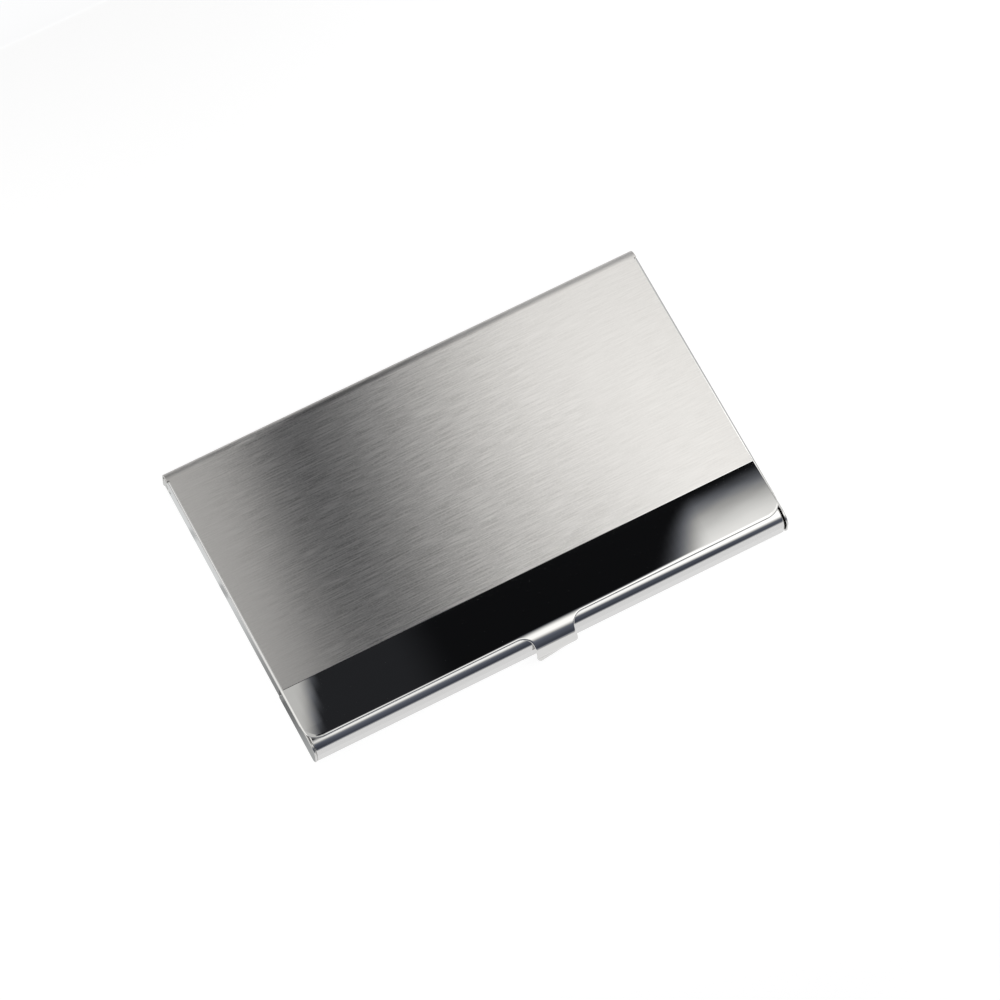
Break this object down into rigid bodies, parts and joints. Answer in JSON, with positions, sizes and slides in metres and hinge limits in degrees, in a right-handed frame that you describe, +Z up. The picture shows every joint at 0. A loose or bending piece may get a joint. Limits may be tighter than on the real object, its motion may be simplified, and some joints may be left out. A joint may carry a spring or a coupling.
{
  "type": "business card case",
  "caption": "Slim stamped steel pocket case for business cards, with a hinged lid, a clasp tab over a rolled front edge and a plate that lifts the cards.",
  "frame": {"origin": "middle of the bounding box, on the underside of the closed case", "axes": "+X along the case, +Y towards the hinge, so the clasp is at -Y, and +Z up out of the lid"},
  "size_m": [0.093, 0.06, 0.007],
  "materials": {
    "polished_steel": "mirror-polished stainless steel",
    "brushed_steel": "stainless steel, brushed lengthwise, with a mirror-polished front strip",
    "spring_steel": "satin sheet steel",
    "pin_steel": "turned steel"
  },
  "bodies": {
    "base": {"base_shell": "polished_steel", "hinge_pin_left": "pin_steel", "hinge_pin_right": "pin_steel"},
    "lid": {"lid_shell": "brushed_steel"},
    "lifter": {"card_lifter": "spring_steel"}
  },
  "joints": [
    {"name": "lid_hinge", "type": "hinge", "parent": "base", "child": "lid", "pos_m": [0, 0.02735, 0.0043], "axis": [-1, 0, 0], "range_deg": [0, 100]},
    {"name": "lifter_hinge", "type": "hinge", "parent": "base", "child": "lifter", "pos_m": [0, 0.02735, 0.0043], "axis": [-1, 0, 0], "range_deg": [0, 18]}
  ],
  "couplings": [
    {"joint": "lifter_hinge", "follows": "lid_hinge", "ratio": 0.18}
  ]
}
